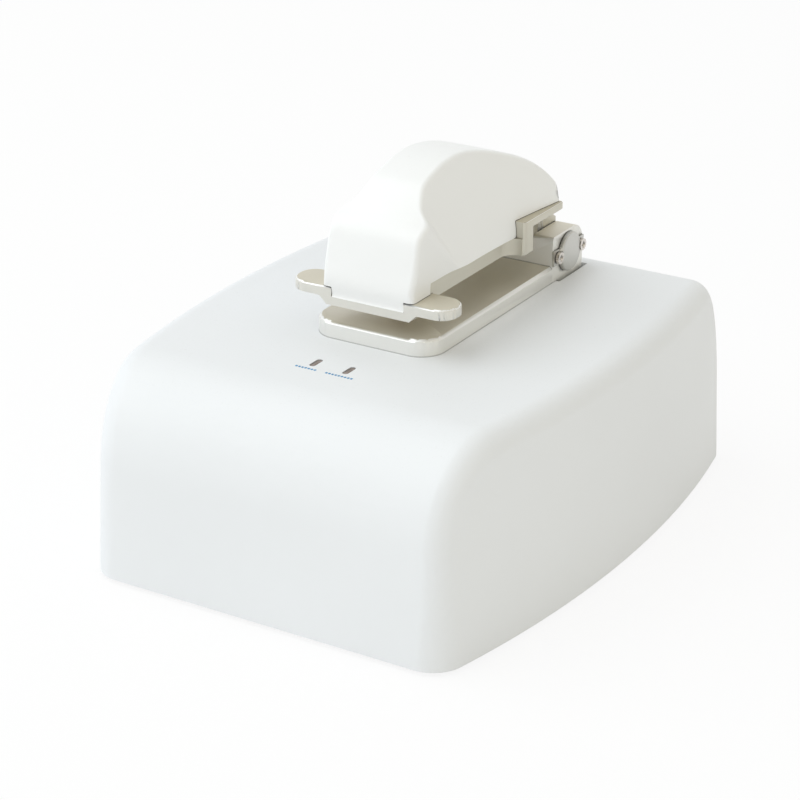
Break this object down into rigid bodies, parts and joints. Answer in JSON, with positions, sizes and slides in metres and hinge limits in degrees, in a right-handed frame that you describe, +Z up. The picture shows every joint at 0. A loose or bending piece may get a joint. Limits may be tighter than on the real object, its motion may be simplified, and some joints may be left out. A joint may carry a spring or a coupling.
{
  "type": "micro-volume spectrophotometer",
  "caption": "Bench micro-volume spectrophotometer: curved box housing, raised metal stage and a damped hinged measuring arm with a domed cover and side finger tabs.",
  "frame": {"origin": "centre of the bounding box in plan, on the surface the feet stand on", "axes": "+X to the instrument's right seen from the front, +Y towards the rear, +Z up; the front faces -Y"},
  "size_m": [0.2148, 0.268, 0.1761],
  "materials": {
    "housing": "fine moulded satin",
    "cover": "smooth satin",
    "anodised": "satin anodised with bright chamfers",
    "damper": "satin turned",
    "steel": "polished screw steel",
    "sheet": "plated sheet",
    "bush": "sintered bronze",
    "rubber": "matt moulded",
    "light": "smoked clear",
    "board": "solder-masked laminate",
    "nylon": "natural nylon",
    "black_plastic": "moulded black",
    "rocker_plastic": "polished black",
    "port": "drawn shell",
    "optics": "black optical enamel",
    "motor": "enamelled can",
    "fibre": "fused silica"
  },
  "bodies": {
    "base": {"housing_shell": "housing", "chassis_plate": "sheet", "rubber_feet": "rubber", "chassis_screws": "steel", "stage_plate": "anodised", "deck_stiffener": "sheet", "stage_screws": "steel", "lower_pedestal": "steel", "source_fibre": "fibre", "hinge_bracket": "anodised", "hinge_bushes": "bush", "hinge_damper": "damper", "damper_screws": "steel", "indicator_lights": "light", "indicator_board": "board", "rear_panel": "sheet", "panel_screws": "steel", "data_port": "port", "power_jack": "black_plastic", "jack_pin": "steel", "switch_frame": "black_plastic", "bracket_frame": "sheet", "bracket_screws": "steel", "flash_lamp": "optics", "spectrometer": "optics", "main_board": "board", "board_standoffs": "nylon"},
    "arm": {"hinge_shaft": "steel", "arm_plate": "anodised", "hinge_yoke": "anodised", "leg_screws": "steel", "finger_bar": "anodised", "finger_screws": "steel", "arm_cover": "cover", "cover_screws": "steel", "guide_sleeve": "bush", "path_motor": "motor", "motor_bracket": "sheet"},
    "plunger": {"upper_pedestal": "steel", "receiving_fibre": "fibre"},
    "rocker": {"power_rocker": "rocker_plastic"}
  },
  "joints": [
    {"name": "arm_hinge", "type": "hinge", "parent": "base", "child": "arm", "pos_m": [0, 0.0828, 0.1112], "axis": [-1, 0, 0], "range_deg": [0, 85]},
    {"name": "path_slide", "type": "slide", "parent": "arm", "child": "plunger", "axis": [0, 0, -1], "range_m": [0, 0.0008]},
    {"name": "power_switch", "type": "hinge", "parent": "base", "child": "rocker", "pos_m": [0.026, 0.1266, 0.027], "axis": [-1, 0, 0], "range_deg": [0, 14]}
  ]
}
